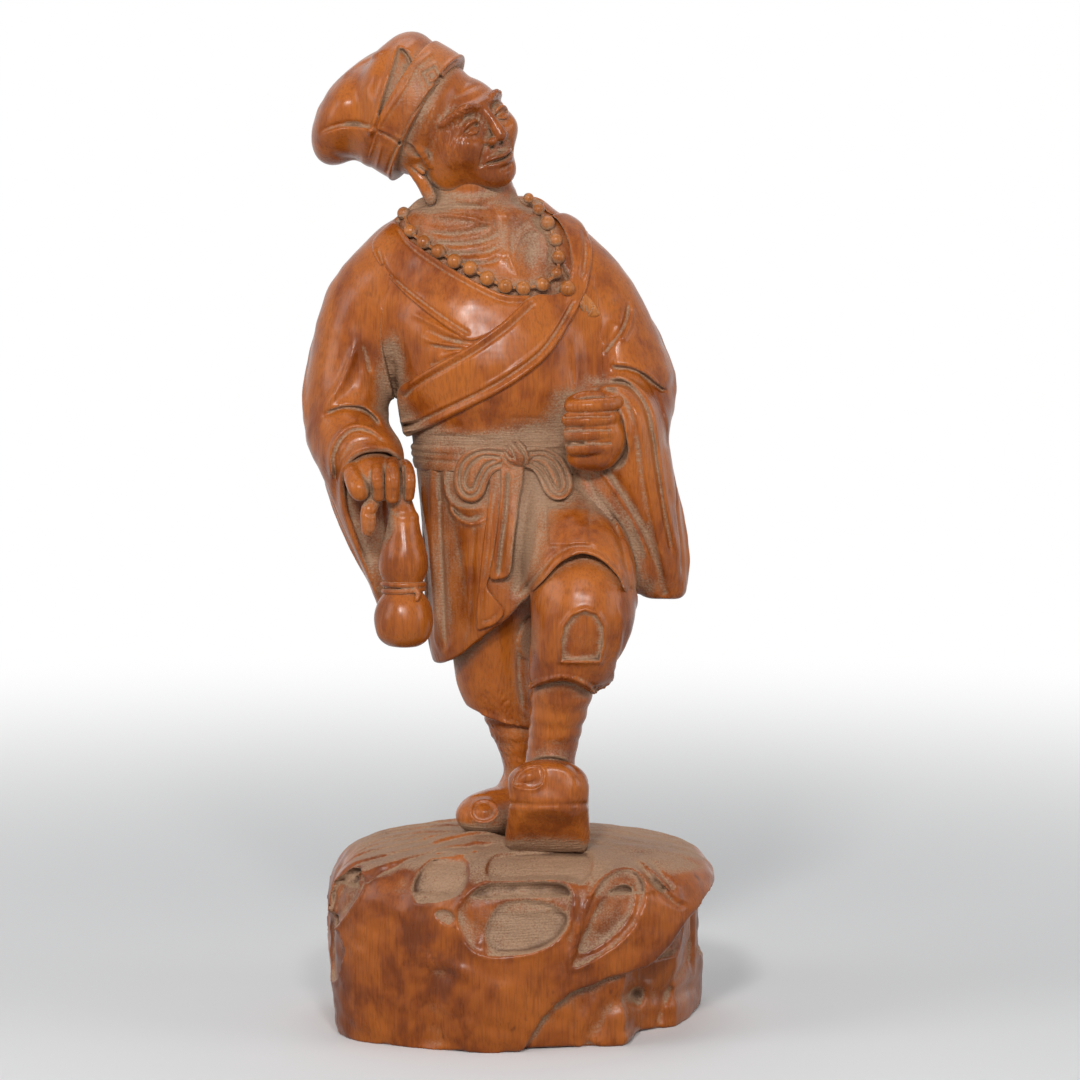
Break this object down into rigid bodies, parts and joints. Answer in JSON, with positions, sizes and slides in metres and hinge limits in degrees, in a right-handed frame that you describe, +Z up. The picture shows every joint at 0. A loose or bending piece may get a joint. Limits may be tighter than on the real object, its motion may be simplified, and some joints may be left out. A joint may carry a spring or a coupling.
{
  "type": "carved wooden figure",
  "caption": "Carved boxwood figure of a striding man in a wrapped robe and soft cap, holding a gourd, on a rock base.",
  "frame": {"origin": "middle of the figure's bounding box, on the plane of the rock's flat underside", "axes": "+Z up, -Y the way the figure's chest faces, +X towards the figure's left hand"},
  "size_m": [0.1064, 0.084, 0.2604],
  "materials": {
    "rock_wood": "polished carved boxwood with dark patches and dusty hollows",
    "robe_wood": "polished carved boxwood, worn bright on the folds",
    "skin_wood": "polished carved boxwood, dusty in the recesses",
    "bead_wood": "polished carved boxwood",
    "dowel_wood": "plain turned or planed boxwood"
  },
  "bodies": {
    "root": {"rock_base": "rock_wood", "front_trouser": "robe_wood", "rear_trouser": "robe_wood", "skirt": "robe_wood", "robe_body": "robe_wood", "right_sleeve": "robe_wood", "left_sleeve": "robe_wood", "lapel_under": "robe_wood", "lapel_over": "robe_wood", "sash_band": "robe_wood", "sash_knot": "robe_wood", "sash_loops": "robe_wood", "sash_tails": "robe_wood", "cap_band": "robe_wood", "cap_crown": "robe_wood", "front_leg": "skin_wood", "rear_leg": "skin_wood", "chest": "skin_wood", "head": "skin_wood", "right_hand": "skin_wood", "left_hand": "skin_wood", "necklace_beads": "bead_wood", "necklace_tassel": "bead_wood", "gourd": "bead_wood", "gourd_cord": "bead_wood", "front_foot_dowel": "dowel_wood", "rear_foot_dowel": "dowel_wood", "waist_tenon": "dowel_wood", "neck_dowel": "dowel_wood", "cap_peg": "dowel_wood", "right_wrist_peg": "dowel_wood", "left_wrist_peg": "dowel_wood"}
  },
  "joints": []
}
